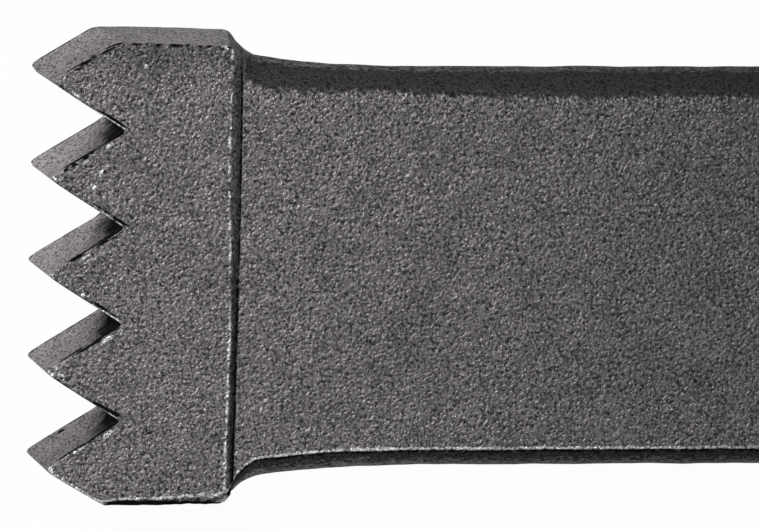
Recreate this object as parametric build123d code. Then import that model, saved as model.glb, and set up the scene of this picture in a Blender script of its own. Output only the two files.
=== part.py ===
from build123d import *
from math import acos, cos, degrees, isclose, radians, sin, sqrt, tan
import os

# A toothed chisel for a power hammer, forged in one piece and lying flat, in millimetres.
# X runs along the tool from the striking end to the teeth, Y across the blade, Z up through it.
# The origin is the centre of the flat striking end.

# Overall size
overall_length = 300.0
head_width = 32.0
head_thickness = 9.2
head_length = 12.35

# Turned shank, with drive slots open at the end and locking pockets closed all round
# Angles are about the tool's axis, from +Y towards +Z.
shank_diameter = 18.0
shank_length = 92.0
end_chamfer = 1.5
drive_slot_angles = (0.0, 150.0, 210.0)
drive_slot_width = 4.5
drive_slot_depth = 2.8
drive_slot_length = 62.0
drive_slot_cutter_radius = 10.0
pocket_angles = (90.0, 270.0)
pocket_width = 6.5
pocket_depth = 2.6
pocket_length = 34.0
pocket_start = 28.0
slot_corner_radius = 0.6

# The turned surface starts inside a drive slot, so its seam shows only ahead of the slots.
seam_angle = 142.5

# The bar's profile and the cutters are drawn at the top of the bar, which is at this angle.
top_angle = 90.0

# Round body, as rolled, and the forged blend from it to the blade
body_step = 0.5
body_length = 26.0
blend_length = 54.0
blend_section_count = 7
body_corner_angle = 45.0

# Blade: flat faces, and convex edges that bulge past the faces' rims
step_height = 0.55
step_run = 0.73
edge_bulge = 1.57

# The edge's outermost line flares to the head along a wide arc, then turns up a steep shoulder
flare_radius = 67.0
flare_rise = 0.72
shoulder_radius = 2.8
shoulder_rise = 1.43
shoulder_slope = 57.0

# Head
head_edge_radius = 0.5
head_rear_radius = 0.5
head_front_radius = 2.0

# Teeth, milled straight through the head, with a margin from the outer tips to the head's sides
tooth_count = 5
tooth_margin = 2.64
tooth_angle = 62.0
tooth_tip_radius = 0.35
tooth_root_radius = 0.2

# How far a cutter passes the surface that it cuts, and a joined form enters what it joins
overlap = 1.0

# Radii and half sizes
shank_radius = shank_diameter / 2
body_radius = shank_radius + body_step
head_half_width = head_width / 2
head_half_thickness = head_thickness / 2
blade_half_thickness = head_half_thickness - step_height
blade_half_width = head_half_width - flare_rise - shoulder_rise
face_half_width = blade_half_width - edge_bulge

# Flare and shoulder, worked out on the outermost line
flare_angle = acos(1 - flare_rise / flare_radius)
shoulder_angle = radians(shoulder_slope)
flare_run = flare_radius * sin(flare_angle)
turn_run = shoulder_radius * (sin(shoulder_angle) - sin(flare_angle))
turn_rise = shoulder_radius * (cos(flare_angle) - cos(shoulder_angle))
slope_run = (shoulder_rise - turn_rise) / tan(shoulder_angle)

# Places along the tool
body_end = shank_length + body_length
blade_start = body_end + blend_length
head_rear = overall_length - head_length
step_foot = head_rear - step_run
flare_start = step_foot - slope_run - turn_run - flare_run

# Sharp corners of the tooth outline, before its tips and roots are rounded
half_tooth_angle = radians(tooth_angle / 2)
tooth_pitch = 2 * (head_half_width - tooth_margin) / (tooth_count - 1)
tip_x = overall_length + tooth_tip_radius * (1 / sin(half_tooth_angle) - 1)
root_x = tip_x - tooth_pitch / 2 / tan(half_tooth_angle)
corner_x = tip_x - tooth_margin / tan(half_tooth_angle)


def turned_bar():
    """Shank and round body, turned about the tool's axis."""
    with BuildPart() as bar:
        with BuildSketch(Plane.XZ):
            with BuildLine():
                Polyline(
                    (0, 0),
                    (0, shank_radius - end_chamfer),
                    (end_chamfer, shank_radius),
                    (shank_length, shank_radius),
                    (shank_length + body_step, body_radius),
                    (body_end, body_radius),
                    (body_end, 0),
                    close=True,
                )
            make_face()
        revolve(axis=Axis.X)
    return bar.part.rotate(Axis.X, seam_angle - top_angle)


def drive_slot():
    """Cutter for a slot along the top of the shank, with a flat floor that runs out on a disc cutter's arc."""
    floor = shank_radius - drive_slot_depth
    top = shank_radius + overlap
    run_out = sqrt(drive_slot_cutter_radius**2 - (drive_slot_cutter_radius - drive_slot_depth) ** 2)
    floor_end = (drive_slot_length - run_out, floor)
    slot_end = (drive_slot_length, shank_radius)
    with BuildPart() as cutter:
        with BuildSketch(Plane.XZ):
            with BuildLine():
                arc = JernArc(floor_end, (1, 0), drive_slot_cutter_radius, Axis(slot_end, (0, 1)))
                Polyline(arc @ 1, (drive_slot_length, top), (-overlap, top), (-overlap, floor), floor_end)
            make_face()
        extrude(amount=drive_slot_width / 2, both=True)
        fillet(cutter.edges().filter_by(Axis.X).group_by(Axis.Z)[0], radius=slot_corner_radius)
    return cutter.part


def locking_pocket():
    """Cutter for a round-ended pocket in the top of the shank."""
    with BuildPart() as cutter:
        with BuildSketch(Plane.XY.offset(shank_radius - pocket_depth)):
            with Locations((pocket_start + pocket_length / 2, 0)):
                SlotOverall(pocket_length, pocket_width)
        extrude(amount=pocket_depth + overlap)
        fillet(cutter.edges().group_by(Axis.Z)[0], radius=slot_corner_radius)
    return cutter.part


def shank():
    """Turned bar with its drive slots and locking pockets."""
    bar = turned_bar()
    for angle in drive_slot_angles:
        bar -= drive_slot().rotate(Axis.X, angle - top_angle)
    for angle in pocket_angles:
        bar -= locking_pocket().rotate(Axis.X, angle - top_angle)
    return bar


def bar_section(x, share):
    """Section of the forging at x, where share 0 is the round body and share 1 is the blade.

    Four curves join four corners. Each corner, and the middle of each curve, moves in a straight line.
    """
    body_corner_y = body_radius * cos(radians(body_corner_angle))
    body_corner_z = body_radius * sin(radians(body_corner_angle))
    corner_y = body_corner_y + share * (face_half_width - body_corner_y)
    corner_z = body_corner_z + share * (blade_half_thickness - body_corner_z)
    middle_y = body_radius + share * (blade_half_width - body_radius)
    middle_z = body_radius + share * (blade_half_thickness - body_radius)
    curves = []
    for side in (1, -1):
        face_start = (side * corner_y, side * corner_z)
        face_end = (-side * corner_y, side * corner_z)
        edge_end = (-side * corner_y, -side * corner_z)
        if share < 1:
            curves.append(ThreePointArc(face_start, (0, side * middle_z), face_end))
        else:
            curves.append(Line(face_start, face_end))
        curves.append(ThreePointArc(face_end, (-side * middle_y, 0), edge_end))
    return Plane.YZ.offset(x) * Face(Wire(curves))


def forged_blend():
    """Loft from the round body to the flat blade, eased in and out along its length."""
    sections = []
    for i in range(blend_section_count):
        t = i / (blend_section_count - 1)
        share = t * t * (3 - 2 * t)
        sections.append(bar_section(body_end + t * blend_length, share))
    return loft(sections)


def face_rim():
    """The +Y rim of the blade's flat face, from the blade's start into the head."""
    with BuildLine() as rim:
        straight = Line((blade_start, face_half_width), (flare_start, face_half_width))
        flare = JernArc(straight @ 1, straight % 1, flare_radius + edge_bulge, degrees(flare_angle))
        turn_angle = shoulder_slope - degrees(flare_angle)
        turn = JernArc(flare @ 1, flare % 1, shoulder_radius + edge_bulge, turn_angle)
        Line(turn @ 1, turn @ 1 + (turn % 1) * (head_length / 2))
    return rim.line


def blade():
    """Flat plate between the two rims, with a convex bead swept along each rim."""
    rim = face_rim()
    with BuildPart() as plate:
        with BuildSketch():
            with BuildLine():
                add(rim)
                add(mirror(rim, Plane.XZ))
                Line(rim @ 0, mirror(rim, Plane.XZ) @ 0)
                Line(rim @ 1, mirror(rim, Plane.XZ) @ 1)
            make_face()
        extrude(amount=blade_half_thickness, both=True)
    with BuildSketch(Plane.YZ.offset(blade_start)) as bead_section:
        with BuildLine():
            inner = face_half_width - overlap
            top = (face_half_width, blade_half_thickness)
            bottom = (face_half_width, -blade_half_thickness)
            ThreePointArc(top, (blade_half_width, 0), bottom)
            Polyline(bottom, (inner, -blade_half_thickness), (inner, blade_half_thickness), top)
        make_face()
    bead = sweep(bead_section.sketch, path=rim)
    return plate.part + bead + mirror(bead, Plane.XZ)


def tooth_outline():
    """Plan of the head: sides, rounded front corners, and V-shaped teeth with rounded tips and roots."""
    first_tip = -tooth_pitch * (tooth_count - 1) / 2
    points = [(step_foot, -head_half_width), (corner_x, -head_half_width)]
    for i in range(tooth_count):
        tip_y = first_tip + i * tooth_pitch
        points.append((tip_x, tip_y))
        if i < tooth_count - 1:
            points.append((root_x, tip_y + tooth_pitch / 2))
    points += [(corner_x, head_half_width), (step_foot, head_half_width)]
    with BuildSketch() as outline:
        with BuildLine():
            Polyline(*points, close=True)
        make_face()
        for x, radius in (
            (step_foot, head_rear_radius),
            (corner_x, head_front_radius),
            (tip_x, tooth_tip_radius),
            (root_x, tooth_root_radius),
        ):
            corners = [corner for corner in outline.vertices() if isclose(corner.X, x, abs_tol=1e-6)]
            fillet(corners, radius=radius)
    return outline.sketch


def head_profile():
    """Side view of the head: flat faces, with a step down to the blade's faces at the rear."""
    with BuildSketch(Plane.XZ) as profile:
        with BuildLine():
            Polyline(
                (step_foot, -blade_half_thickness),
                (head_rear, -head_half_thickness),
                (tip_x, -head_half_thickness),
                (tip_x, head_half_thickness),
                (head_rear, head_half_thickness),
                (step_foot, blade_half_thickness),
                close=True,
            )
        make_face()
    return profile.sketch


def blade_and_head():
    """Blade and head joined, and trimmed to the head's width with its long edges rounded."""
    teeth = extrude(tooth_outline(), amount=head_half_thickness, both=True)
    side_view = extrude(head_profile(), amount=head_half_width, both=True)
    joined = blade() + (teeth & side_view)
    end_view = Plane.YZ.offset(blade_start) * RectangleRounded(head_width, head_thickness, head_edge_radius)
    return joined & extrude(end_view, amount=tip_x - blade_start)


toothed_chisel = shank() + forged_blend() + blade_and_head()

os.makedirs("parts", exist_ok=True)
export_step(toothed_chisel, "parts/toothed_chisel.step")
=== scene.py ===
"""Looks of a toothed hammer chisel: its worn forging, its steel, its stage, lights and camera."""

import bpy
import numpy as np
from mathutils import Matrix, Vector


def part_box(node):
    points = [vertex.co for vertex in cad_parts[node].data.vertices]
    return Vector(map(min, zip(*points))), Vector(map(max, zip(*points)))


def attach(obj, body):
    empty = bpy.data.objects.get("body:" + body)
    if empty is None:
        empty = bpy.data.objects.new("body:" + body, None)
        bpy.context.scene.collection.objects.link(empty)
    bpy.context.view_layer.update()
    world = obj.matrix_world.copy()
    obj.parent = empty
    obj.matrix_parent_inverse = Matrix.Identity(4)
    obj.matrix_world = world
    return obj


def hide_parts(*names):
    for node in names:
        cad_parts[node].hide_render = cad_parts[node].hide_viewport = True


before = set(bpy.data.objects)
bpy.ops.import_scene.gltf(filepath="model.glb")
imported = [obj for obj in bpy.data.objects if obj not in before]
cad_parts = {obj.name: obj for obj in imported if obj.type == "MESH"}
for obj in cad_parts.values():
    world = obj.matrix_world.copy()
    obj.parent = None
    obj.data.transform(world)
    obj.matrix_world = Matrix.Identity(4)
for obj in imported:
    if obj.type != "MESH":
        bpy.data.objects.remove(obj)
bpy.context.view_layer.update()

bl_info = {
    "name": "Toothed Chisel",
    "version": (1, 1, 0),
    "blender": (4, 5, 0),
    "location": "3D View > Sidebar > Chisel",
    "description": "Makes the worn forging of a toothed chisel, finishes its steel and sets its stage",
    "category": "Object",
}

MM = 0.001
NODE = "toothed_chisel"
LOW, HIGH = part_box(NODE)

# Main sizes in millimetres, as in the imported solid
HEAD_HALF_WIDTH = HIGH.y / MM
BODY_RADIUS = HIGH.z / MM
SHANK_RADIUS = 9.0
SHANK_LENGTH = 92.0
END_CHAMFER = 1.5
BODY_STEP = 0.5
BODY_END = 118.0
BLADE_START = 172.0
HEAD_HALF_THICKNESS = 4.6
CENTRE_OF_MASS = 149.5

# Slots in the shank: angle about the axis, width, depth, start and end. An open one starts behind the end face.
DRIVE_SLOTS = tuple((angle, 4.5, 2.8, -10.0, 62.0) for angle in (0.0, 150.0, 210.0))
POCKETS = tuple((angle, 6.5, 2.6, 28.0, 62.0) for angle in (90.0, 270.0))
CUTTER_RADIUS = 10.0
SLOT_WALL = 0.14

# Half widths along the tool, as pairs of place and size. The face would meet the edge on the corner line, and the
# outer line is the edge's furthest reach. The near side is +Y and the far side is -Y.
CORNER_LINE_NEAR = (
    (0, 12.26), (275.6, 12.26), (278.1, 12.31), (280.6, 12.42), (283.0, 12.63), (284.2, 12.78), (284.77, 12.88),
    (285.28, 13.27), (285.98, 13.95), (286.37, 14.75), (286.67, 15.02), (286.85, 15.22), (286.98, 15.42), (287.15, 15.76),
    (287.3, 15.84), (287.7, 15.96), (294, 16), (300, 16),
)
CORNER_LINE_FAR = (
    (0, 12.36), (263, 12.36), (271, 12.4), (275, 12.62), (280, 12.62), (284.2, 12.8), (284.9, 12.96), (285.3, 13.14),
    (285.8, 13.4), (286.07, 13.9), (286.42, 14.74), (286.67, 15.36), (286.85, 15.63), (286.95, 15.7), (287.3, 15.82),
    (288.7, 15.88), (290.4, 15.94), (294, 16), (300, 16),
)
OUTER_LINE_NEAR = (
    (0, 13.85), (273.9, 13.86), (277.9, 13.95), (279.9, 14.08), (281.9, 14.22), (283.4, 14.35), (284.17, 14.47),
    (284.62, 14.59), (285.07, 14.76), (285.57, 15.02), (285.86, 15.25), (286.07, 15.48), (286.3, 15.64), (286.6, 15.68),
    (286.92, 15.74), (287.3, 15.9), (288, 15.97), (294, 16), (300, 16),
)
OUTER_LINE_FAR = (
    (0, 13.8), (274.3, 13.8), (277.1, 13.85), (279.9, 13.96), (280.9, 14.05), (282, 14.14), (283.1, 14.28),
    (284.25, 14.44), (284.8, 14.5), (285.37, 14.59), (285.93, 14.9), (286.49, 15.38), (286.85, 15.71), (287.0, 15.79), (287.3, 15.84),
    (288.7, 15.9), (290.4, 15.95), (294, 16), (300, 16),
)
LINE_BLUR = 0.07

# Step from the blade's faces up to the head's: where it starts, how long it is and how high
STEP_START = 286.17
STEP_RUN = 0.69
STEP_HEIGHT = 0.55
BLADE_HALF_THICKNESS = HEAD_HALF_THICKNESS - STEP_HEIGHT

# The step's upper edge wanders across the head: pairs of place across and shift along the tool
STEP_EDGE_LINE = (
    (-16, 0.02), (-13, 0.045), (-10, 0.09), (-6, 0.06), (-3, -0.065), (0, -0.14), (4.5, -0.215), (8.5, -0.15),
    (12.5, -0.09), (16, -0.1),
)

# Below the front face the head's rear corners are shifted by these amounts instead
REAR_CORNER_SHIFT = {-1: 0.12, 1: -0.46}

# Rounding of the long edges along the tool: +Y front, -Y front, -Y back and +Y back
ROUNDING_LINES = {
    (1, 1): ((0, 0.16), (285.9, 0.14), (286.9, 0.7), (288.9, 0.65), (291.9, 0.6), (294.5, 0.56), (300, 0.55)),
    (-1, 1): ((0, 1.1), (272, 1.1), (277, 0.8), (283.5, 0.9), (285.5, 0.4), (286.9, 0.13), (300, 0.13)),
    (-1, -1): ((0, 0.5), (285.9, 0.3), (286.9, 0.15), (300, 0.15)),
    (1, -1): ((0, 0.3), (285.9, 0.3), (286.9, 0.45), (300, 0.45)),
}

# The head's rear end leans: it lies further back on the back face than on the front one
LEAN = 0.15
LEAN_SPAN = (282.4, 285.4, 287.9, 293.4)

# Teeth: places of the tips and of the roots, on the back face and on the front face
TIP_Y = ((-13.24, -6.53, 0.17, 6.87, 13.61), (-13.31, -6.68, 0.0, 6.7, 13.48))
TIP_X = ((300.12, 299.97, 299.97, 299.88, 299.82), (299.87, 299.94, 299.94, 299.96, 299.84))
ROOT_Y = ((-9.8, -3.11, 3.57, 10.37), (-9.9, -3.23, 3.42, 10.15))
ROOT_X = 294.94
TIP_ROUNDING = 0.2
ROOT_ROUNDING = 0.11
OUTER_FLANK_RUN = {-1: 1.69, 1: 1.746}
FAR_CORNER_RADIUS = (2.1, 3.4)
NEAR_CORNER_RADIUS = 0.35
FRONT_START = 293.4
FRONT_ROWS = 14
FRONT_BEVEL = 0.07

# Columns of the mesh round a section
ARC_STEPS = 3
FACE_COLUMNS = 100
SIDE_COLUMNS = 24
FACE_SPAN = FACE_COLUMNS + 2 * ARC_STEPS + 2
EDGE_SPAN = SIDE_COLUMNS + 2 * ARC_STEPS
COLUMNS = 2 * (FACE_SPAN + EDGE_SPAN)
CORNERS = (0, FACE_SPAN - 1, FACE_SPAN + EDGE_SPAN, COLUMNS - EDGE_SPAN - 1, COLUMNS)

# Stations of the mesh along the tool: end of each run and the spacing in it
RUNS = (
    (0.1, 0.1), (1.4, 0.4), (1.6, 0.1), (27.5, 2.4), (32.0, 0.3), (55.0, 2.4), (58.5, 0.6), (62.3, 0.25), (91.9, 3.4),
    (92.6, 0.14), (118.0, 2.6), (172.0, 2.0), (248.0, 2.6), (275.0, 0.6), (283.5, 0.35), (286.0, 0.14), (287.3, 0.07),
    (288.0, 0.12), (293.4, 0.2),
)

# Material slots of the mesh
BLASTED, MILLED, TURNED = range(3)

# Cells of the noise that draws the grain and its pits, in millimetres. Blasted grit leaves dents of about 0.2 to
# 0.4 mm, and a pixel of the photograph is 0.07 mm, so these are drawn at their real size. Milled and turned
# tool marks are finer than a pixel, and are drawn as coarse as the grain.
GRAIN_CELL = 0.21
PIT_CELL = 0.4

# The pattern's lattice is turned, so that no face lies along it.
PATTERN_TURN = (0.6, 0.35, 0.2)

# Single marks: its kind, its centre, its half length and half width, and its direction from +X towards +Y. The bright
# marks are chips and painted highlights, and the dark ones are painted shade in chips, a nick and beside edges.
SPOTS = (
    ("wear_and_highlight", (299.78, -6.63, 4.6), 0.28, 0.17, -1.11),
    ("wear_and_highlight", (299.89, 0.06, 4.6), 0.36, 0.17, -0.79),
    ("wear_and_highlight", (299.76, 6.77, 4.6), 0.39, 0.20, -0.79),
    ("wear_and_highlight", (299.62, 13.42, 4.6), 0.38, 0.17, -1.28),
    ("wear_and_highlight", (299.45, 6.39, 4.6), 0.22, 0.12, 0.00),
    ("wear_and_highlight", (299.02, 6.91, 4.6), 0.30, 0.13, -0.38),
    ("wear_and_highlight", (296.53, -7.17, 4.6), 0.20, 0.14, 0.98),
    ("wear_and_highlight", (296.60, -6.82, 4.6), 0.16, 0.12, -1.57),
    ("wear_and_highlight", (297.02, -6.10, 4.6), 0.30, 0.14, 1.11),
    ("wear_and_highlight", (297.87, 12.11, 4.6), 1.00, 0.14, 0.48),
    ("wear_and_highlight", (295.68, 10.94, 4.6), 0.45, 0.14, 0.48),
    ("wear_and_highlight", (293.57, -14.41, 4.6), 0.17, 0.17, 0.00),
    ("wear_and_highlight", (288.10, -15.75, 4.6), 0.45, 0.13, -0.40),
    ("wear_and_highlight", (295.79, 4.36, 4.6), 0.59, 0.16, 0.46),
    ("wear_and_highlight", (295.98, -8.95, 4.6), 0.39, 0.13, 0.46),
    ("wear_and_highlight", (296.22, -4.38, 4.6), 0.30, 0.14, -0.79),
    ("wear_and_highlight", (297.64, 1.34, 4.6), 0.16, 0.14, -0.46),
    ("painted_shade", (292.83, 10.92, 4.6), 0.45, 0.08, 0.32),
    ("painted_shade", (297.58, 12.06, -3.7), 0.35, 0.35, 0.0),
    ("painted_shade", (295.64, -10.68, 4.6), 1.05, 0.13, -0.56),
    ("painted_shade", (298.99, -7.27, 4.6), 0.24, 0.13, 0.58),
    ("painted_shade", (298.44, -7.62, 4.6), 0.26, 0.12, 0.58),
    ("painted_shade", (297.62, -8.13, 4.6), 0.30, 0.14, 0.58),
    ("painted_shade", (297.18, -8.48, 4.6), 0.20, 0.11, 0.58),
    ("painted_shade", (298.31, -14.20, 4.6), 0.34, 0.09, 0.14),
    ("painted_shade", (296.36, -15.43, 4.6), 0.70, 0.09, 0.48),
)

# A nick in the back edge of the last tooth: its place, size and depth
NICK = (297.58, 12.06, -3.7)
NICK_SIZE = 0.3
NICK_DEPTH = 0.25

# Frame of the photograph: width in pixels, scale at the teeth, the view's directions and the shift of its centre
IMAGE_WIDTH = 759
PIXELS_PER_MM = 14.57
VIEW_RIGHT = (-0.98284, -0.02475, 0.18281)
VIEW_TOWARDS = (0.18447, -0.1414, 0.97261)
VIEW_SHIFT = (23.408, 0.023)


def linear(hex_colour):
    """Linear RGBA of an sRGB hex colour such as 8A8583."""
    channels = [int(hex_colour[i : i + 2], 16) / 255 for i in (0, 2, 4)]
    return [c / 12.92 if c <= 0.04045 else ((c + 0.055) / 1.055) ** 2.4 for c in channels] + [1.0]


def add_node(tree, kind, settings=None, inputs=None):
    """Adds a shader node, sets its properties, and gives each input a value or links it to a node or socket."""
    node = tree.nodes.new(kind)
    for name, value in (settings or {}).items():
        setattr(node, name, value)
    for key, value in (inputs or {}).items():
        if isinstance(value, bpy.types.Node):
            value = value.outputs[0]
        if isinstance(value, bpy.types.NodeSocket):
            tree.links.new(value, node.inputs[key])
        else:
            node.inputs[key].default_value = value
    return node


def smooth(t):
    """Eased step from 0 to 1: three t squared less two t cubed, held at its ends."""
    t = np.clip(t, 0.0, 1.0)
    return t * t * (3 - 2 * t)


def bell(x, middle, width):
    """Bell curve of unit height: it falls off with the square of the distance from the middle."""
    return np.exp(-(((x - middle) / width) ** 2))


def broken_line(points, x):
    """Height at x of straight runs between points, averaged over a short span, so that its corners are round."""
    xs, ys = np.array(points, dtype=float).T
    return np.mean([np.interp(x + shift, xs, ys) for shift in np.linspace(-LINE_BLUR, LINE_BLUR, 7)], axis=0)


def waves(places, size, seed, count=32):
    """Smooth unevenness of about unit height: the sum of sine waves of about one length, in random directions."""
    random = np.random.default_rng(seed)
    directions = random.normal(size=(places.shape[-1], count))
    directions /= np.linalg.norm(directions, axis=0)
    lengths = size * random.uniform(0.7, 1.5, count)
    phases = random.uniform(0, 2 * np.pi, count)
    return np.sin(places @ (directions * 2 * np.pi / lengths) + phases).sum(axis=-1) * np.sqrt(2 / count)


def stations():
    """Places along the tool: evenly spaced runs, one after the other."""
    places = [np.zeros(1)]
    start = 0.0
    for end, spacing in RUNS:
        steps = int(np.ceil((end - start) / spacing))
        places.append(np.linspace(start, end, steps + 1)[1:])
        start = end
    return np.concatenate(places)


def face_fractions():
    """Where the face's columns lie, from 1 at +Y to -1 at -Y: even, but crowded at each tooth's tip and root."""
    half = HEAD_HALF_WIDTH - 0.6
    y = np.linspace(-half, half, 4001)
    crowd = 0.62 + 2.0 * bell(np.abs(y), half, 0.5)
    crowd += sum(2.6 * bell(y, tip, 0.3) for tip in TIP_Y[1]) + sum(2.6 * bell(y, root, 0.22) for root in ROOT_Y[1])
    total = np.cumsum(crowd)
    return np.interp(np.linspace(total[0], total[-1], FACE_COLUMNS + 2)[1:-1], total, y / half)[::-1]


def forged_sections(corner, outer, face, rounding):
    """Points round the sections of the blade and head, one row for each station.

    A section has two flat faces, two convex edges that are arcs through the corners and the outer line, and four
    corners rounded with arcs that are tangent to the face and to the edge. Its points go from the middle of the
    +Y front corner over the front face, round the -Y edge, over the back face and round the +Y edge.
    """
    fractions = face_fractions()
    steps = np.arange(2 * ARC_STEPS + 1) / (2 * ARC_STEPS)
    radius, arc = {}, {}
    for side in (-1, 1):
        bulge = np.maximum(outer[side] - corner[side], 1e-4)
        radius[side] = (face**2 + bulge**2) / (2 * bulge)
        turn = np.pi / 2 - np.arcsin(np.clip(face / radius[side], -1, 1))
        for level in (-1, 1):
            r = rounding[side, level]
            angle = np.pi / 2 - turn[:, None] * steps
            y = (corner[side] - r * np.tan(turn / 2))[:, None] + r[:, None] * np.cos(angle)
            z = (face - r)[:, None] + r[:, None] * np.sin(angle)
            arc[side, level] = np.stack([side * y, level * z], axis=-1)

    def face_run(level, first):
        """Half a corner, the flat columns and half a corner, from the first side to the other."""
        share = fractions if first > 0 else fractions[::-1]
        y = np.where(share > 0, share * arc[1, level][:, :1, 0], -share * arc[-1, level][:, :1, 0])
        z = np.broadcast_to((level * face)[:, None], y.shape)
        return [arc[first, level][:, ARC_STEPS::-1], np.stack([y, z], axis=-1), arc[-first, level][:, : ARC_STEPS + 1]]

    def edge_run(side, first):
        """Half a corner, the convex edge and half a corner, from the first face to the other."""
        start, end = arc[side, first][:, -1:, 1], arc[side, -first][:, -1:, 1]
        z = start + (end - start) * np.linspace(0, 1, SIDE_COLUMNS + 2)[1:-1]
        r = radius[side][:, None]
        y = side * (outer[side][:, None] - z**2 / (r + np.sqrt(r**2 - z**2)))
        return [arc[side, first][:, ARC_STEPS + 1 :], np.stack([y, z], axis=-1), arc[side, -first][:, :ARC_STEPS:-1]]

    return np.concatenate(face_run(1, 1) + edge_run(-1, 1) + face_run(-1, -1) + edge_run(1, -1), axis=1)


def even_angles(section):
    """Angles about the axis for a section's columns: each quarter turn is shared out by length along the section."""
    closed = np.concatenate([section, section[:1]])
    along = np.concatenate([[0], np.cumsum(np.linalg.norm(np.diff(closed, axis=0), axis=1))])
    return np.interp(along[:-1], along[list(CORNERS)], np.radians([45, 135, 225, 315, 405]))


def slotted_angles():
    """Angles about the axis for the shank's columns: each quarter turn is even, but crowded at the slots' walls."""
    walls = [
        np.radians(angle) + side * np.arcsin(width / 2 / SHANK_RADIUS)
        for angle, width, *_ in DRIVE_SLOTS + POCKETS
        for side in (-1, 1)
    ]
    angles = []
    for first, last, start in zip(CORNERS[:-1], CORNERS[1:], np.radians([45, 135, 225, 315])):
        spot = start + np.linspace(0, np.pi / 2, 2001)
        gaps = [np.abs((spot - wall + np.pi) % (2 * np.pi) - np.pi) for wall in walls]
        total = np.cumsum(0.5 + sum(2.0 * np.exp(-((gap / 0.022) ** 2)) for gap in gaps))
        angles.append(np.interp(np.linspace(total[0], total[-1], last - first + 1)[:-1], total, spot))
    return np.concatenate(angles)


def round_sections(x, angles):
    """Circles of the shank and body, with the slots and pockets sunk into them.

    Seen along a slot's own direction, the bar is a height over the distance from the slot's middle plane. The slot
    lowers that height to its floor, through walls that slope over a short distance. An open slot's floor ends on
    the cutter's arc, and a pocket's ends are half circles.
    """
    places = (0, END_CHAMFER, SHANK_LENGTH, SHANK_LENGTH + BODY_STEP)
    radius = np.interp(x, places, (SHANK_RADIUS - END_CHAMFER, SHANK_RADIUS, SHANK_RADIUS, BODY_RADIUS))
    y = radius[:, None] * np.cos(angles)
    z = radius[:, None] * np.sin(angles)
    for angle, width, depth, start, end in DRIVE_SLOTS + POCKETS:
        c, s = np.cos(np.radians(angle)), np.sin(np.radians(angle))
        height = y * c + z * s
        across = np.abs(z * c - y * s)
        half = width / 2
        floor = np.full_like(x, SHANK_RADIUS - depth)
        if start < 0:
            run_out = np.sqrt(CUTTER_RADIUS**2 - (CUTTER_RADIUS - depth) ** 2)
            past = np.clip(x - (end - run_out), 0, CUTTER_RADIUS)
            floor += CUTTER_RADIUS - np.sqrt(CUTTER_RADIUS**2 - past**2)
            outside = across - half
        else:
            past = np.maximum(np.maximum(start + half - x, x - (end - half)), 0)
            outside = np.hypot(past[:, None], across) - half
        sunk = (1 - smooth((outside + SLOT_WALL) / (2 * SLOT_WALL))) * (x < end + 1)[:, None]
        drop = np.clip(height - floor[:, None], 0, None) * sunk
        y = y - drop * c
        z = z - drop * s
    return np.stack([y, z], axis=-1)


def tooth_front(y, z):
    """How far forward the head reaches at y and z.

    The places of the tips and roots change evenly from the back face to the front one. Between a tip and a root
    the flank is straight. Near them, the distance across is swapped for the root of its square plus a small square,
    which rounds them. Outside the outer tips the flank runs on to a circle that is tangent to it and to the head's
    side.
    """
    lift = np.clip((z + HEAD_HALF_THICKNESS) / (2 * HEAD_HALF_THICKNESS), 0, 1)
    front = np.full(np.broadcast(y, z).shape, -np.inf)
    for i in range(len(TIP_Y[0])):
        tip_y = TIP_Y[0][i] * (1 - lift) + TIP_Y[1][i] * lift
        tip_x = TIP_X[0][i] * (1 - lift) + TIP_X[1][i] * lift
        for side in (-1, 1):
            away = side * (y - tip_y)
            root = i + (side - 1) // 2
            if 0 <= root < len(ROOT_Y[0]):
                across = np.abs(ROOT_Y[0][root] * (1 - lift) + ROOT_Y[1][root] * lift - tip_y)
                run = (tip_x - ROOT_X) / (across - TIP_ROUNDING - ROOT_ROUNDING)
                back = across - away
                fill = np.sqrt(back**2 + ROOT_ROUNDING**2) - np.abs(back)
                reach = tip_x + run * (TIP_ROUNDING - np.sqrt(away**2 + TIP_ROUNDING**2) + fill)
                inside = (away >= 0) & (away <= across)
            else:
                run = OUTER_FLANK_RUN[side]
                slant = np.sqrt(1 + run**2)
                reach = tip_x + run * (TIP_ROUNDING - np.sqrt(away**2 + TIP_ROUNDING**2))
                far_radius = FAR_CORNER_RADIUS[0] * (1 - lift) + FAR_CORNER_RADIUS[1] * lift
                corner = far_radius if side < 0 else NEAR_CORNER_RADIUS
                centre_y = HEAD_HALF_WIDTH - corner
                centre_x = tip_x + run * (TIP_ROUNDING + np.abs(tip_y) - centre_y) - corner * slant
                over = np.clip(side * y - centre_y, 0, corner)
                circle = centre_x + np.sqrt(np.clip(corner**2 - over**2, 0, None))
                reach = np.where(over > corner * run / slant, circle, reach)
                inside = away >= 0
            front = np.where(inside, reach, front)
    return front


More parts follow.
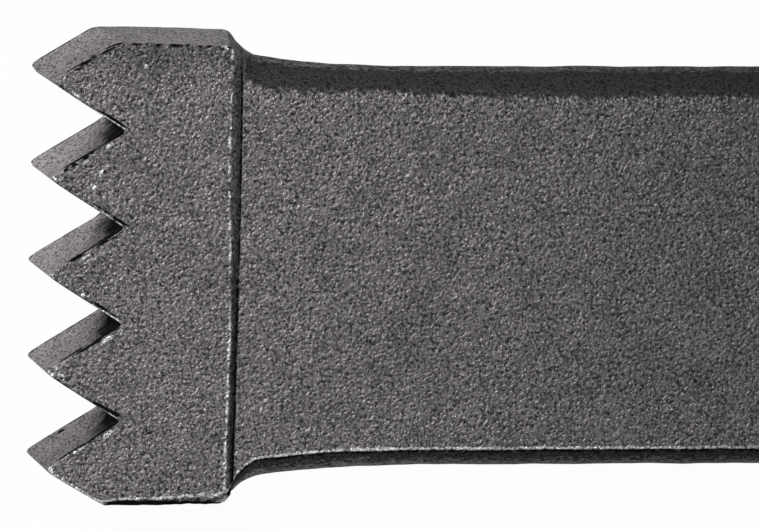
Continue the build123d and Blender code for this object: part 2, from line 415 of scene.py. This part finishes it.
def tool_rows():
    """Rows of points round the tool, from the end face to the teeth, and the station of each row.

    The round bar turns into the blade's section on an eased share. The rear end of the head leans, and ahead of
    the last station each column runs on to the toothed front.
    """
    x = stations()
    places = np.stack([x, 0 * x], axis=-1)
    outer = {-1: broken_line(OUTER_LINE_FAR, x), 1: broken_line(OUTER_LINE_NEAR, x)}
    corner = {-1: broken_line(CORNER_LINE_FAR, x), 1: broken_line(CORNER_LINE_NEAR, x)}
    rounding = {}
    for seed, (key, line) in enumerate(ROUNDING_LINES.items()):
        uneven = 1 + 0.15 * waves(places, 2.5, seed) + 0.1 * waves(places, 0.8, seed + 10)
        rounding[key] = broken_line(line, x) * np.clip(uneven, 0.4, 1.7)
    climb = np.clip((x - STEP_START) / STEP_RUN, 0, 1)
    face = BLADE_HALF_THICKNESS + STEP_HEIGHT * (0.25 * climb + 0.75 * (1 - (1 - climb) ** 2))
    forged = forged_sections(corner, outer, face, rounding)

    settle = smooth((x - SHANK_LENGTH - 2) / (BODY_END - SHANK_LENGTH - 3))[:, None]
    even = even_angles(forged[np.searchsorted(x, BLADE_START)])
    bar = round_sections(x, slotted_angles() * (1 - settle) + even * settle)
    share = smooth((x - BODY_END) / (BLADE_START - BODY_END))[:, None, None]
    section = bar * (1 - share) + forged * share

    start, full, fading, end = LEAN_SPAN
    lean = LEAN * smooth((x - start) / (full - start)) * (1 - smooth((x - fading) / (end - fading)))
    askew = smooth((x - STEP_START - 0.1) / (STEP_RUN - 0.1)) * (1 - smooth((x - 287.3) / 6))
    y, z = section[:, :, 0], section[:, :, 1]
    corner_share = smooth((np.abs(y) - 14.0) / 0.8) * (1 - smooth((z - 4.1) / 0.5))
    corner_shift = np.where(y < 0, REAR_CORNER_SHIFT[-1], REAR_CORNER_SHIFT[1])
    shift = broken_line(STEP_EDGE_LINE, y) * (1 - corner_share) + corner_shift * corner_share
    along = x[:, None] + lean[:, None] * z + askew[:, None] * shift
    least = 0.004 * np.arange(len(x))[:, None]
    along = np.maximum.accumulate(along - least, axis=0) + least
    rows = np.concatenate([along[:, :, None], section], axis=-1)

    last = rows[-1]
    front = tooth_front(last[:, 1], last[:, 2])
    shares = 1 - (1 - np.arange(1, FRONT_ROWS + 1) / FRONT_ROWS) ** 1.4
    ahead = FRONT_START + (front - FRONT_BEVEL - FRONT_START) * shares[:, None]
    sides = np.broadcast_to(last[:, 1:], (FRONT_ROWS, COLUMNS, 2))
    rim = last[:, 1:] * (1 - 0.3 * FRONT_BEVEL / np.array([HEAD_HALF_WIDTH, HEAD_HALF_THICKNESS]))
    rim = np.concatenate([(front - 0.3 * FRONT_BEVEL)[:, None], rim], axis=-1)
    rows = np.concatenate([rows, np.concatenate([ahead[:, :, None], sides], axis=-1), rim[None]])
    return rows, np.concatenate([x, FRONT_START + 6 * shares, [300.0]])


def tooth_grid(rim):
    """Grid of points over the toothed front, inside its rim of points.

    Across and up, a point is the sum of the blends between opposite sides of the rim, less the blend of its four
    corners. Forward, it lies on the tooth front.
    """
    top = rim[:FACE_SPAN, 1:]
    bottom = rim[CORNERS[2] : CORNERS[3] + 1, 1:][::-1]
    far = rim[CORNERS[1] : CORNERS[2] + 1, 1:]
    near = np.concatenate([rim[CORNERS[3] :, 1:], rim[:1, 1:]])[::-1]
    s = ((top[0, 0] - top[:, 0]) / (top[0, 0] - top[-1, 0]))[:, None, None]
    t = ((near[0, 1] - near[:, 1]) / (near[0, 1] - near[-1, 1]))[None, :, None]
    grid = (1 - t) * top[:, None] + t * bottom[:, None] + (1 - s) * near[None] + s * far[None]
    grid -= (1 - t) * ((1 - s) * top[0] + s * top[-1]) + t * ((1 - s) * bottom[0] + s * bottom[-1])
    return np.concatenate([tooth_front(grid[..., 0], grid[..., 1])[..., None], grid], axis=-1)


def forging(rows):
    """Vertices, quads and end face of the closed tool: rings along it, the toothed front's grid, and the flat end
    as one face.
    """
    grid = tooth_grid(rows[-1])
    inner = grid[1:-1, 1:-1]
    vertices = np.concatenate([rows.reshape(-1, 3), inner.reshape(-1, 3)])

    j = np.arange(COLUMNS)
    k = (j + 1) % COLUMNS
    starts = np.arange(len(rows) - 1)[:, None] * COLUMNS
    tube = np.stack([starts + j, starts + k, starts + COLUMNS + k, starts + COLUMNS + j], axis=-1)

    number = np.zeros(grid.shape[:2], dtype=int)
    rim = (len(rows) - 1) * COLUMNS
    number[:, 0] = rim + np.arange(FACE_SPAN)
    number[-1, :] = rim + np.arange(CORNERS[1], CORNERS[2] + 1)
    number[:, -1] = rim + np.arange(CORNERS[2], CORNERS[3] + 1)[::-1]
    number[0, :] = rim + np.append(np.arange(CORNERS[3], COLUMNS), 0)[::-1]
    number[1:-1, 1:-1] = rim + COLUMNS + np.arange(inner.shape[0] * inner.shape[1]).reshape(inner.shape[:2])
    front = np.stack([number[:-1, :-1], number[1:, :-1], number[1:, 1:], number[:-1, 1:]], axis=-1)
    quads = np.concatenate([tube.reshape(-1, 4), front.reshape(-1, 4)])
    return vertices, quads, j[::-1]


def relief(places):
    """Height of the forging's unevenness in millimetres: broad and narrow waves, none on the turned shank."""
    uneven = 0.014 * waves(places, 5.0, 21) + 0.008 * waves(places, 1.8, 22)
    return uneven * smooth((places[:, 0] - SHANK_LENGTH) / 10)


def patchy(places, size, seed):
    """Patches from 0 to 1, of about one size: a half plus waves, held at 0 and 1."""
    return np.clip(0.5 + 0.6 * waves(places, size, seed), 0, 1)


def marks(rows, x):
    """Strength of each mark on the surface, from 0 to 1, for each point of the rows.

    The scale mark is the forge's dark skin on the edges and the step, and it also paints the shade where they turn
    from the light; it thins towards the silhouettes, which paints a lighter sheen there. The soot mark is painted
    shade: dark lines in hollows, at the step's foot, below the rims and beside the edges. The wear mark is an edge
    rubbed bright, with painted highlights along the rims and the teeth's edges. The grime mark is a darkening:
    painted shade that grows along the blade away from the head, and darker on the head's face near its far edge
    and on its far side. They are bell curves and eased steps over the distance round the section from the nearest
    corner, over the distance along the tool, and near the teeth over the distance to the flank.
    """
    step = np.linalg.norm(np.roll(rows, -1, axis=1) - rows, axis=2)
    girth = np.concatenate([0 * step[:, :1], np.cumsum(step, axis=1)], axis=1)
    from_corner = np.abs(girth[:, :-1, None] - girth[:, list(CORNERS)][:, None, :])
    nearest = from_corner.argmin(axis=2)
    column = np.arange(COLUMNS)
    on_edge = ((column >= CORNERS[1]) & (column <= CORNERS[2])) | (column >= CORNERS[3]) | (column == 0)
    outside = np.where(on_edge, 1, -1) * from_corner.min(axis=2)
    near_front = nearest % 4 == 0
    far_front = nearest == 1
    y = rows[..., 1]
    x = x[:, None]
    head = smooth((x - 286.9) / 0.2)
    blade = smooth((x - 125) / 40) * (1 - smooth((x - np.where(y < 0, 285.5, 286.8)) / np.where(y < 0, 0.9, 0.2)))

    # Forge skin on the edges, wider on the far one, which is also painted shade where the edges turn from the light
    uneven = 0.13 * waves(rows, 0.55, 35)
    scale_and_shade = np.where(far_front, smooth((outside + 0.64 + uneven) / 1.4), smooth((outside + 0.1) / 0.3)) * blade
    # Thinner towards the silhouettes, which paints a lighter sheen where the edges are seen along their surface
    near_share = np.interp(outside, (0.3, 0.7, 2.3), (1.0, 0.62, 0.3)) - 0.05 * bell(x, 276, 5)
    scale_and_shade *= np.where(y < 0, 1 - 0.6 * smooth((outside - 2.0) / 1.2), near_share)
    # The step gets forge skin and painted shade, darkest towards +Y
    step_band = smooth((x - STEP_START + 0.05) / 0.1) * (1 - smooth((x - STEP_START) / STEP_RUN))
    scale_and_shade = np.maximum(scale_and_shade, step_band * np.interp(y, (-9, -6, 2, 6), (0.42, 0.5, 0.55, 1.0)))
    # Painted shade: a dark line just past the blade's near front rim, and a patchy one along the head's far front rim
    painted_shade = 1.2 * bell(outside, 0.22, 0.2) * near_front * blade
    painted_shade += 0.75 * patchy(rows, 0.5, 31) * bell(outside, -0.05, 0.16) * far_front * head
    # Painted shade below the bright line along the head's near front rim, ending before the teeth
    start = np.interp(x, (287.5, 288.3, 289, 290, 291, 292.2, 293.2, 295), (0.0, -0.12, -0.2, -0.24, -0.28, -0.34, -0.3, -0.38))
    before_corner = smooth((295.75 - rows[..., 0]) / 0.2)
    below = smooth((outside - start) / 0.12) * (1 - smooth((outside - 0.6) / 0.3))
    painted_shade += 1.25 * below * before_corner * near_front * smooth((x - 287.2) / 0.5)
    # Painted shade: a dark line at the step's foot, and shade over the step that deepens towards +Y
    painted_shade += (0.75 - 0.2 * smooth((y + 6) / 12)) * bell(x, STEP_START - 0.035 + 0.0005 * y**2, 0.09) * ~on_edge
    painted_shade += 0.3 * smooth((y + 6) / 12) * step_band * ~on_edge
    # Rubbed edges with painted highlights: along the blade's near front rim, along the head's near front rim, and on
    # the step's upper edge
    wear_and_highlight = 1.0 * bell(outside, -0.06, 0.11) * near_front * blade
    line = np.interp(x, (287.5, 288, 288.6, 289.3, 290.2, 291, 294), (-0.5, -0.55, -0.63, -0.56, -0.48, -0.455, -0.42))
    shine = np.interp(x, (288, 289, 290, 293, 295), (1.0, 0.95, 0.66, 0.55, 0.95))
    wear_and_highlight += shine * bell(outside, line, 0.13) * near_front * head
    rubbed = 0.12 + 0.5 * patchy(rows, 1.2, 32) + 0.35 * smooth(y / 12)
    wear_and_highlight += rubbed * bell(x, STEP_START + STEP_RUN + 0.03, 0.12) * ~on_edge
    # Painted shade that deepens along the blade away from the head, and darker on the head's face near its far edge and
    # on its far side
    darkening_and_shade = np.clip(0.0097 * (290 - x), 0, 0.38) + 0.33 * bell(outside, -0.4, 1.2) * far_front * ~on_edge * head
    darkening_and_shade += on_edge * (y < 0) * smooth((x - 285.5) / 1.0) * (0.4 - 0.1 * smooth(outside / 8))

    gap = (tooth_front(y, rows[..., 2]) - rows[..., 0]) / 1.95
    rise = tooth_front(y + 0.02, rows[..., 2]) > tooth_front(y - 0.02, rows[..., 2])
    face = ~on_edge & (rows[..., 2] > 0)
    falls = tooth_front(y + 0.2, rows[..., 2]) < tooth_front(y + 0.16, rows[..., 2])
    deep = 1 - smooth((rows[..., 0] - ROOT_X - 1.4) / 1.0)
    past_first = smooth((y + 12.8) / 0.6)
    torn = patchy(rows, 0.6, 36) * smooth((299.4 - rows[..., 0]) / 0.8) * np.where(y > 10.2, 0.45, 1.0)
    climbs = tooth_front(y - 0.2, rows[..., 2]) < tooth_front(y - 0.16, rows[..., 2])
    # Rubbed edges and painted highlights along the teeth's front edges
    wear_and_highlight += 0.55 * patchy(rows, 1.5, 33) * bell(gap, 0.3, 0.1) * rise * climbs * face * past_first
    wear_and_highlight += 1.2 * bell(gap, 0.02, 0.07) * falls * face * deep
    wear_and_highlight += 0.7 * patchy(rows, 1.0, 41) * bell(gap, 0.2, 0.06) * falls * face * (1 - deep)
    # Painted shadow in the creases near the roots, and ragged dark lines of painted shade beside the teeth's edges
    crease = 0.19 + 0.04 * waves(rows, 0.7, 38)
    painted_shade += (0.6 + 0.9 * patchy(rows, 0.9, 39)) * bell(gap, crease, 0.1) * falls * face * deep * (y < 12)
    painted_shade += 0.6 * bell(gap, 0.0, 0.07) * ~rise * face * (1 - deep) * (y < 13.6)
    painted_shade += 1.1 * torn * bell(gap, 0.04, 0.13) * climbs * face * past_first
    painted_shade += 1.3 * bell(gap, 0.05, 0.14) * bell(y, -14.83, 0.3) * face
    wear_and_highlight += (0.4 + 0.7 * patchy(rows, 1.0, 40)) * bell(gap, 0.06, 0.08) * face * (y > 13.6)
    return {"scale_and_shade": scale_and_shade, "painted_shade": painted_shade, "wear_and_highlight": wear_and_highlight, "darkening_and_shade": darkening_and_shade}


def tooth_marks(grid):
    """Strength of each mark on the milled teeth: painted shade that deepens into the roots, a darkening that changes
    from tooth to tooth and grows towards the front face, and painted shade in a ragged line along the front face's
    edge and a thin one along the back's.
    """
    x, y, z = np.moveaxis(grid, -1, 0)
    darkening_and_shade = np.interp(y, (-16, -13, -6.6, 0, 6.7, 13.4), (0.2, 0.18, 0.0, 0.08, 0.18, 0.34))
    darkening_and_shade += 0.12 * smooth((z + 1) / 5)
    # Painted shade that deepens into the roots between the teeth
    between = smooth((13.0 - np.abs(y)) / 0.5)
    reach = 1.5 + 0.3 * z + 0.2 * waves(grid, 1.2, 37)
    darkening_and_shade = np.maximum(darkening_and_shade, 0.98 * smooth((reach - x + ROOT_X) / 1.4) * between)
    # Painted shade in a ragged line along the front face's edge and a thin one along the back face's edge
    front = HEAD_HALF_THICKNESS - z
    line = 0.2 + 1.1 * patchy(grid, 0.8, 34)
    painted_shade = line * bell(front, 0.1, 0.5) * smooth((299.5 - x) / 0.8)
    painted_shade += 1.1 * patchy(grid, 0.8, 42) * bell(z, -HEAD_HALF_THICKNESS, 0.3)
    return {"scale_and_shade": 0 * painted_shade, "painted_shade": painted_shade, "wear_and_highlight": 0 * painted_shade, "darkening_and_shade": darkening_and_shade}


def build_mesh(name, vertices, quads, end_face):
    """Mesh from whole arrays in millimetres: quads shaded smooth, and one flat face with many corners."""
    mesh = bpy.data.meshes.new(name)
    corners = np.concatenate([quads.ravel(), end_face])
    sizes = np.append(np.full(len(quads), 4), len(end_face))
    is_quad = np.arange(len(sizes)) < len(quads)
    mesh.vertices.add(len(vertices))
    mesh.vertices.foreach_set("co", (vertices * MM).astype(np.float32).ravel())
    mesh.loops.add(len(corners))
    mesh.loops.foreach_set("vertex_index", corners.astype(np.int32))
    mesh.polygons.add(len(sizes))
    mesh.polygons.foreach_set("loop_start", (np.cumsum(sizes) - sizes).astype(np.int32))
    mesh.polygons.foreach_set("use_smooth", is_quad)
    mesh.update(calc_edges=True)
    return mesh


def steel_nodes(tree, finish, look):
    """Steel with a grain of pits and peaks, streaks or patches, and the marks that the mesh carries.

    Each layer of colour lies over what is below it, where its source is above a level. The marks paint the forge's
    skin, shade and highlights into the colour. The forge's skin and the painted shade are not metal, so the metal's
    share falls where they lie. They have no gloss at all, so that a painted black line stays black even where it is
    seen along the surface, and the metal's tint at its rim is dark for the same reason.
    """
    tree.nodes.clear()
    place = add_node(tree, "ShaderNodeTexCoord").outputs["Object"]
    inputs = {"Vector": place, "Scale": look["stretch"], "Rotation": PATTERN_TURN}
    drawn = add_node(tree, "ShaderNodeMapping", inputs=inputs)
    noises = []
    for cell, detail in ((look["grain"], 1.5), (look["pits"], 2.0), (look["patches"], 3.0)):
        inputs = {"Vector": drawn, "Scale": 1 / (cell * MM), "Detail": detail, "Roughness": 0.6}
        noises.append(add_node(tree, "ShaderNodeTexNoise", inputs=inputs).outputs[0])
    grain, pits, patches = noises
    limits = {"From Min": 0.3, "From Max": 0.7, "To Max": look["ragged"]}
    ragged = add_node(tree, "ShaderNodeMapRange", inputs={"Value": pits, **limits})
    strength = {}
    for name in ("scale_and_shade", "painted_shade", "wear_and_highlight", "darkening_and_shade"):
        mark = add_node(tree, "ShaderNodeAttribute", {"attribute_name": name}).outputs["Fac"]
        torn = add_node(tree, "ShaderNodeMath", {"operation": "SUBTRACT"}, {0: mark, 1: ragged})
        strength[name] = mark if name == "darkening_and_shade" else torn
    for name, centre, half_length, half_width, turn in SPOTS:
        size = (half_length * MM, half_width * MM, 0.5 * MM)
        inputs = {"Vector": place, "Location": Vector(centre) * MM, "Rotation": (0, 0, turn), "Scale": size}
        around = add_node(tree, "ShaderNodeMapping", {"vector_type": "TEXTURE"}, inputs)
        spot = add_node(tree, "ShaderNodeTexGradient", {"gradient_type": "SPHERICAL"}, {"Vector": around})
        strength[name] = add_node(tree, "ShaderNodeMath", {"operation": "MAXIMUM"}, {0: strength[name], 1: spot})

    colour = (*look["base"], 1.0)
    shares = {}
    # Layers in turn: random dark patches, bright grain peaks, forge skin with painted shade, rubbed edges with painted
    # highlights, dark grain pits, a painted darkening, and painted shade lines
    for name, source, low, high, most, shade in (
        ("patches", patches, 0.4, 0.8, look["contrast"] * 0.3, finish.pit_and_shade_colour),
        ("peaks", grain, 0.58, 0.75, look["contrast"] * 0.3, finish.bare_and_highlight_colour),
        ("scale_and_shade", strength["scale_and_shade"], 0.0, 0.3, 1.0, finish.scale_and_shade_colour),
        ("wear_and_highlight", strength["wear_and_highlight"], 0.0, 0.3, 1.0, finish.bare_and_highlight_colour),
        ("pits", grain, 0.54, 0.3, look["contrast"] * 0.9, finish.pit_and_shade_colour),
        ("darkening_and_shade", strength["darkening_and_shade"], 0.0, 1.0, 1.0, finish.pit_and_shade_colour),
        ("painted_shade", strength["painted_shade"], 0.0, 0.3, 1.0, finish.pit_and_shade_colour),
    ):
        limits = {"From Min": low, "From Max": high, "To Max": most}
        shares[name] = add_node(tree, "ShaderNodeMapRange", inputs={"Value": source, **limits})
        layer = {0: shares[name], 6: colour, 7: (*shade, 1.0)}
        colour = add_node(tree, "ShaderNodeMix", {"data_type": "RGBA"}, layer).outputs[2]
    depth = add_node(tree, "ShaderNodeMath", {"operation": "ADD"}, {0: grain, 1: pits})
    relief = {"Height": depth, "Distance": finish.grain_height * look["height"], "Strength": 1.0}
    rough = add_node(tree, "ShaderNodeBump", inputs=relief)
    # Painted shade and the forge's skin dull the metal
    limits = {"From Min": 0.4, "From Max": 0.8}
    deep_darkening = add_node(tree, "ShaderNodeMapRange", inputs={"Value": shares["darkening_and_shade"], **limits})
    shade_share = add_node(tree, "ShaderNodeMath", {"operation": "MAXIMUM"}, {0: shares["painted_shade"], 1: deep_darkening})
    scale_and_shade_share = add_node(tree, "ShaderNodeMath", {"operation": "MULTIPLY"}, {0: shares["scale_and_shade"], 1: 0.75})
    dull = add_node(tree, "ShaderNodeMath", {"operation": "MAXIMUM"}, {0: shade_share, 1: scale_and_shade_share})
    metal = add_node(tree, "ShaderNodeMapRange", inputs={"Value": dull, "To Min": 0.9, "To Max": 0.0})
    settings = {"Base Color": colour, "Metallic": metal, "Roughness": 0.45, "Normal": rough}
    settings.update({"Specular IOR Level": 0.0, "Specular Tint": (0.35, 0.35, 0.35, 1.0)})
    shader = add_node(tree, "ShaderNodeBsdfPrincipled", inputs=settings)
    add_node(tree, "ShaderNodeOutputMaterial", inputs={"Surface": shader})


class ChiselStageSizes(bpy.types.PropertyGroup):
    """Sizes of the camera and the stage."""

    camera_distance: bpy.props.FloatProperty(
        name="Camera distance", description="From the lens to the blade", default=0.9, unit="LENGTH"
    )
    floor_size: bpy.props.FloatProperty(
        name="Floor size", description="Side of the square floor", default=8.0, unit="LENGTH"
    )


class ChiselFinish(bpy.types.PropertyGroup):
    """Colours and grain of the steel."""

    blasted_colour: bpy.props.FloatVectorProperty(
        name="Blasted steel", description="Faces of the blasted forging", subtype="COLOR", default=linear("8A8687")[:3]
    )
    milled_colour: bpy.props.FloatVectorProperty(
        name="Milled steel", description="Teeth and sides of the head", subtype="COLOR", default=linear("D2CCCE")[:3]
    )
    turned_colour: bpy.props.FloatVectorProperty(
        name="Turned steel", description="Shank and round body", subtype="COLOR", default=linear("8C898A")[:3]
    )
    # Colour of the forge skin, which also paints the shade of the edges and the step
    scale_and_shade_colour: bpy.props.FloatVectorProperty(
        name="Forge scale", description="Dark skin left by the forge", subtype="COLOR", default=linear("494647")[:3]
    )
    # Colour of the dark grain pits and patches, and of the painted shade and darkening
    pit_and_shade_colour: bpy.props.FloatVectorProperty(
        name="Soot", description="Dark lines in hollows and beside edges", subtype="COLOR", default=linear("141213")[:3]
    )
    # Colour of bright grain peaks, rubbed edges and painted highlights
    bare_and_highlight_colour: bpy.props.FloatVectorProperty(
        name="Bare steel", description="Edges rubbed bright", subtype="COLOR", default=linear("ECEAEA")[:3]
    )
    grain_height: bpy.props.FloatProperty(
        name="Grain height", description="Height of the blasted grain", default=0.00011, unit="LENGTH", precision=6
    )


class CHISEL_OT_make_forging(bpy.types.Operator):
    """Makes the worn forging in place of the plain solid"""

    bl_idname = "chisel.make_forging"
    bl_label = "Make the Forging"

    def execute(self, context):
        rows, row_stations = tool_rows()
        vertices, quads, end_face = forging(rows)
        mesh = build_mesh("worn_forging", vertices, quads, end_face)
        normals = np.empty(len(vertices) * 3, dtype=np.float32)
        mesh.vertex_normals.foreach_get("vector", normals)
        tube = rows.shape[0] * rows.shape[1]
        height = relief(vertices)
        height[tube:] = 0
        height[tube - COLUMNS : tube] = 0
        height -= NICK_DEPTH * bell(np.linalg.norm(vertices - NICK, axis=1), 0, NICK_SIZE)
        moved = vertices + normals.reshape(-1, 3) * height[:, None]
        moved = np.clip(moved, np.array(LOW) / MM, np.array(HIGH) / MM)
        mesh.vertices.foreach_set("co", (moved * MM).astype(np.float32).ravel())
        mesh.update()
        grid_marks = tooth_marks(tooth_grid(rows[-1]))
        for name, strength in marks(rows, row_stations).items():
            values = np.zeros(len(vertices), dtype=np.float32)
            values[:tube] = np.clip(strength, 0, 1).ravel()
            inner = np.clip(grid_marks[name][1:-1, 1:-1], 0, 1)
            values[-inner.size :] = inner.ravel()
            mesh.attributes.new(name, "FLOAT", "POINT").data.foreach_set("value", values)

        finishes = np.full((len(rows) - 1, COLUMNS), BLASTED)
        column = np.arange(COLUMNS)
        side = ((column >= CORNERS[1]) & (column < CORNERS[2])) | (column >= CORNERS[3])
        finishes[np.ix_(row_stations[:-1] >= 287.0, side)] = MILLED
        finishes[row_stations[:-1] < BODY_END] = TURNED
        ends = np.full(len(quads) + 1 - finishes.size, MILLED)
        ends[-1] = TURNED
        mesh.polygons.foreach_set("material_index", np.concatenate([finishes.ravel(), ends]).astype(np.int32))
        tool = bpy.data.objects.new("worn_forging", mesh)
        context.scene.collection.objects.link(tool)
        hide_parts(NODE)
        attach(tool, "root")
        return {"FINISHED"}


class CHISEL_OT_finish_steel(bpy.types.Operator):
    """Gives the forging its shot-blasted and milled steel"""

    bl_idname = "chisel.finish_steel"
    bl_label = "Finish the Steel"

    def execute(self, context):
        finish = context.scene.chisel_finish
        tool = bpy.data.objects["worn_forging"]
        looks = {
            # Faces of the forging: an even grey, grainy with dark dents and small bright peaks
            "shot_blasted_forged_steel": {
                "base": finish.blasted_colour,
                "contrast": 1.0,
                "height": 1.0,
                "ragged": 0.5,
                "grain": GRAIN_CELL,
                "pits": PIT_CELL,
                "patches": 3.0,
                "stretch": (1, 1, 1),
            },
            # Teeth and sides of the head: lighter and smoother, with faint streaks the way the cutter went
            "milled_steel": {
                "base": finish.milled_colour,
                "contrast": 0.9,
                "height": 0.5,
                "ragged": 0.35,
                "grain": 0.18,
                "pits": PIT_CELL,
                "patches": 1.2,
                "stretch": (1, 1, 0.35),
            },
            # Shank and round body: fine rings round the bar, with a satin shine
            "turned_steel": {
                "base": finish.turned_colour,
                "contrast": 0.5,
                "height": 0.3,
                "ragged": 0.3,
                "grain": GRAIN_CELL,
                "pits": PIT_CELL,
                "patches": 0.3,
                "stretch": (1, 0.1, 0.1),
            },
        }
        for name, look in looks.items():
            steel = bpy.data.materials.new(name)
            steel.use_nodes = True
            steel_nodes(steel.node_tree, finish, look)
            tool.data.materials.append(steel)
        return {"FINISHED"}


class CHISEL_OT_set_stage(bpy.types.Operator):
    """Sets the floor, world, lights and camera around the tool"""

    bl_idname = "chisel.set_stage"
    bl_label = "Set the Stage"

    def execute(self, context):
        sizes = context.scene.chisel_stage_sizes
        scene = context.scene
        scene.view_settings.view_transform = "Standard"

        towards = Vector(VIEW_TOWARDS).normalized()
        up = towards.cross(Vector(VIEW_RIGHT)).normalized()
        right = up.cross(towards)
        target = Vector((HIGH.x, 0, 0)) + (right * VIEW_SHIFT[0] + up * VIEW_SHIFT[1]) * MM
        lens = bpy.data.cameras.new("camera")
        lens.lens = lens.sensor_width * sizes.camera_distance / (IMAGE_WIDTH / PIXELS_PER_MM * MM)
        lens.clip_start = 0.1
        lens.clip_end = 50.0
        camera = bpy.data.objects.new("camera", lens)
        scene.collection.objects.link(camera)
        turn = Matrix((right, up, towards)).transposed().to_4x4()
        turn.translation = target + towards * sizes.camera_distance
        camera.matrix_world = turn
        scene.camera = camera

        points = tool_rows()[0].reshape(-1, 3)
        behind = points[points[:, 0] < CENTRE_OF_MASS]
        slope = ((-HEAD_HALF_THICKNESS - behind[:, 2]) / (300.0 - behind[:, 0])).max()
        side = sizes.floor_size / 2
        corners = [(-side, -side), (side, -side), (side, side), (-side, side)]
        mesh = bpy.data.meshes.new("floor")
        height = -(HEAD_HALF_THICKNESS + slope * 300.0) * MM
        mesh.from_pydata([(x, y, height + slope * x) for x, y in corners], [], [(0, 1, 2, 3)])
        floor = bpy.data.objects.new("floor", mesh)
        scene.collection.objects.link(floor)
        # Gives the eye a plain white ground that still takes the tool's soft shadow
        paper = bpy.data.materials.new("white_paper")
        paper.use_nodes = True
        tree = paper.node_tree
        tree.nodes.clear()
        matt = add_node(tree, "ShaderNodeBsdfDiffuse", inputs={"Color": linear("F2F2F2")})
        glow = add_node(tree, "ShaderNodeEmission", inputs={"Strength": 1.0})
        path = add_node(tree, "ShaderNodeLightPath")
        seen = add_node(
            tree,
            "ShaderNodeMath",
            {"operation": "MAXIMUM"},
            {0: path.outputs["Is Camera Ray"], 1: path.outputs["Is Glossy Ray"]},
        )
        share = add_node(tree, "ShaderNodeMath", {"operation": "MULTIPLY"}, {0: seen, 1: 0.97})
        mixed = add_node(tree, "ShaderNodeMixShader", inputs={"Fac": share, 1: matt, 2: glow})
        add_node(tree, "ShaderNodeOutputMaterial", inputs={"Surface": mixed})
        mesh.materials.append(paper)

        world = bpy.data.worlds.new("studio")
        scene.world = world
        world.use_nodes = True
        world.node_tree.nodes["Background"].inputs["Color"].default_value = linear("8C8C8C")
        world.node_tree.nodes["Background"].inputs["Strength"].default_value = 0.5

        for name, place, size, power in (
            ("key_light", Vector((0.28, -0.32, 0.62)), 0.35, 4.5),
            ("fill_light", Vector((-0.3, 0.3, 0.9)), 0.7, 1.5),
        ):
            data = bpy.data.lights.new(name, "AREA")
            data.size = size
            data.energy = power
            lamp = bpy.data.objects.new(name, data)
            lamp.visible_camera = False
            scene.collection.objects.link(lamp)
            lamp.location = Vector((0.29, 0, 0)) + place
            lamp.rotation_mode = "QUATERNION"
            lamp.rotation_quaternion = place.to_track_quat("Z", "Y")
        return {"FINISHED"}


class CHISEL_PT_panel(bpy.types.Panel):
    """Lists the steps that finish and stage the chisel."""

    bl_label = "Toothed Chisel"
    bl_space_type = "VIEW_3D"
    bl_region_type = "UI"
    bl_category = "Chisel"

    def draw(self, context):
        for operator in OPERATORS:
            self.layout.operator(operator.bl_idname)
        self.layout.prop(context.scene.chisel_stage_sizes, "camera_distance")


OPERATORS = (CHISEL_OT_make_forging, CHISEL_OT_finish_steel, CHISEL_OT_set_stage)
CLASSES = (ChiselStageSizes, ChiselFinish, *OPERATORS, CHISEL_PT_panel)


def register():
    for cls in CLASSES:
        bpy.utils.register_class(cls)
    bpy.types.Scene.chisel_stage_sizes = bpy.props.PointerProperty(type=ChiselStageSizes)
    bpy.types.Scene.chisel_finish = bpy.props.PointerProperty(type=ChiselFinish)


def unregister():
    del bpy.types.Scene.chisel_finish
    del bpy.types.Scene.chisel_stage_sizes
    for cls in reversed(CLASSES):
        bpy.utils.unregister_class(cls)


def main():
    register()
    bpy.ops.chisel.make_forging()
    bpy.ops.chisel.finish_steel()
    bpy.ops.chisel.set_stage()


if __name__ == "__main__":
    main()
